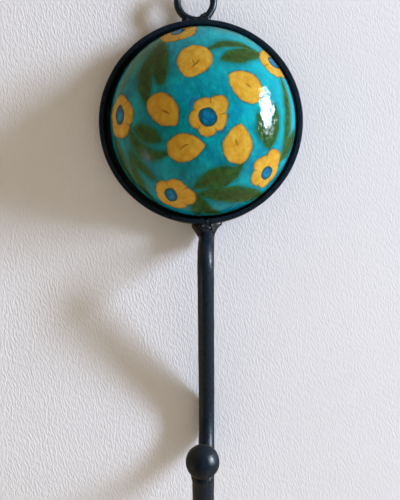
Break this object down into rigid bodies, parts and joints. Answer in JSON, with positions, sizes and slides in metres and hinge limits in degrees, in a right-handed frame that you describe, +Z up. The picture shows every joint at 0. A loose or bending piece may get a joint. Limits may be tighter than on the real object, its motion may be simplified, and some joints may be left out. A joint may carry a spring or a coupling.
{
  "type": "wall hook",
  "caption": "Wall hook with a painted glazed ceramic dome set in a rolled iron ring, a wire hanging eyelet above and a bent bar hook with a ball tip below.",
  "frame": {"origin": "on the wall, straight behind the middle of the ring", "axes": "+Z up, +X to the right as seen from the front, +Y into the wall, so the front faces -Y"},
  "size_m": [0.0642, 0.0544, 0.1635],
  "materials": {
    "painted_glazed_ceramic": "clear gloss glaze over hand-painted turquoise with yellow flowers and green leaves",
    "setting_plaster": "rough set plaster",
    "black_iron": "satin black paint over forged iron",
    "weld_metal": "black paint over rough weld beads"
  },
  "bodies": {
    "root": {"ceramic_dome": "painted_glazed_ceramic", "setting_bed": "setting_plaster", "ring_band": "black_iron", "ring_seam_weld": "weld_metal", "back_plate": "black_iron", "plate_tacks": "weld_metal", "hanging_eyelet": "black_iron", "eyelet_weld": "weld_metal", "hook_bar": "black_iron", "stem_weld": "weld_metal", "ball_tip": "black_iron", "ball_weld": "weld_metal"}
  },
  "joints": []
}
